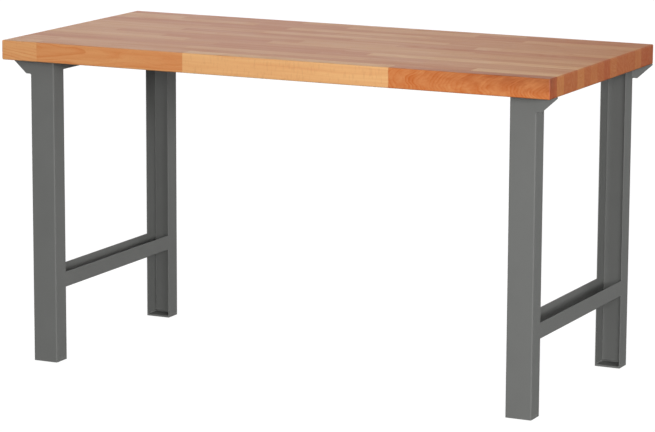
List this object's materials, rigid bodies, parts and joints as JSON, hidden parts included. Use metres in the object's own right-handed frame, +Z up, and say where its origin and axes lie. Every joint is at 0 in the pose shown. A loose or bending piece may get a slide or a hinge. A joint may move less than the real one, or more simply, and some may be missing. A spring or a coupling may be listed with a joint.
{
  "type": "workbench",
  "caption": "Workbench with a thick glued beech top on welded end frames of folded grey steel channel, with low cross rails, corner gussets and foot plates.",
  "frame": {"origin": "on the floor, below the middle of the top", "axes": "+X along the bench to the right as seen from the front, +Y from the front edge to the rear edge, +Z up"},
  "size_m": [1.5, 0.7, 0.84],
  "materials": {
    "beech": "oiled, glued staves",
    "powder_coat": "satin grey powder coat",
    "zinc": "bright zinc plate"
  },
  "bodies": {
    "root": {"worktop": "beech", "leg_left_front": "powder_coat", "leg_left_rear": "powder_coat", "leg_right_front": "powder_coat", "leg_right_rear": "powder_coat", "rail_left": "powder_coat", "rail_right": "powder_coat", "bearer_left": "powder_coat", "bearer_right": "powder_coat", "foot_plate_left_front": "powder_coat", "foot_plate_left_rear": "powder_coat", "foot_plate_right_front": "powder_coat", "foot_plate_right_rear": "powder_coat", "gusset_left_front": "powder_coat", "gusset_left_rear": "powder_coat", "gusset_right_front": "powder_coat", "gusset_right_rear": "powder_coat", "screw_left_1": "zinc", "screw_left_2": "zinc", "screw_left_3": "zinc", "screw_left_4": "zinc", "screw_right_1": "zinc", "screw_right_2": "zinc", "screw_right_3": "zinc", "screw_right_4": "zinc", "washer_left_1": "zinc", "washer_left_2": "zinc", "washer_left_3": "zinc", "washer_left_4": "zinc", "washer_right_1": "zinc", "washer_right_2": "zinc", "washer_right_3": "zinc", "washer_right_4": "zinc"}
  },
  "joints": []
}
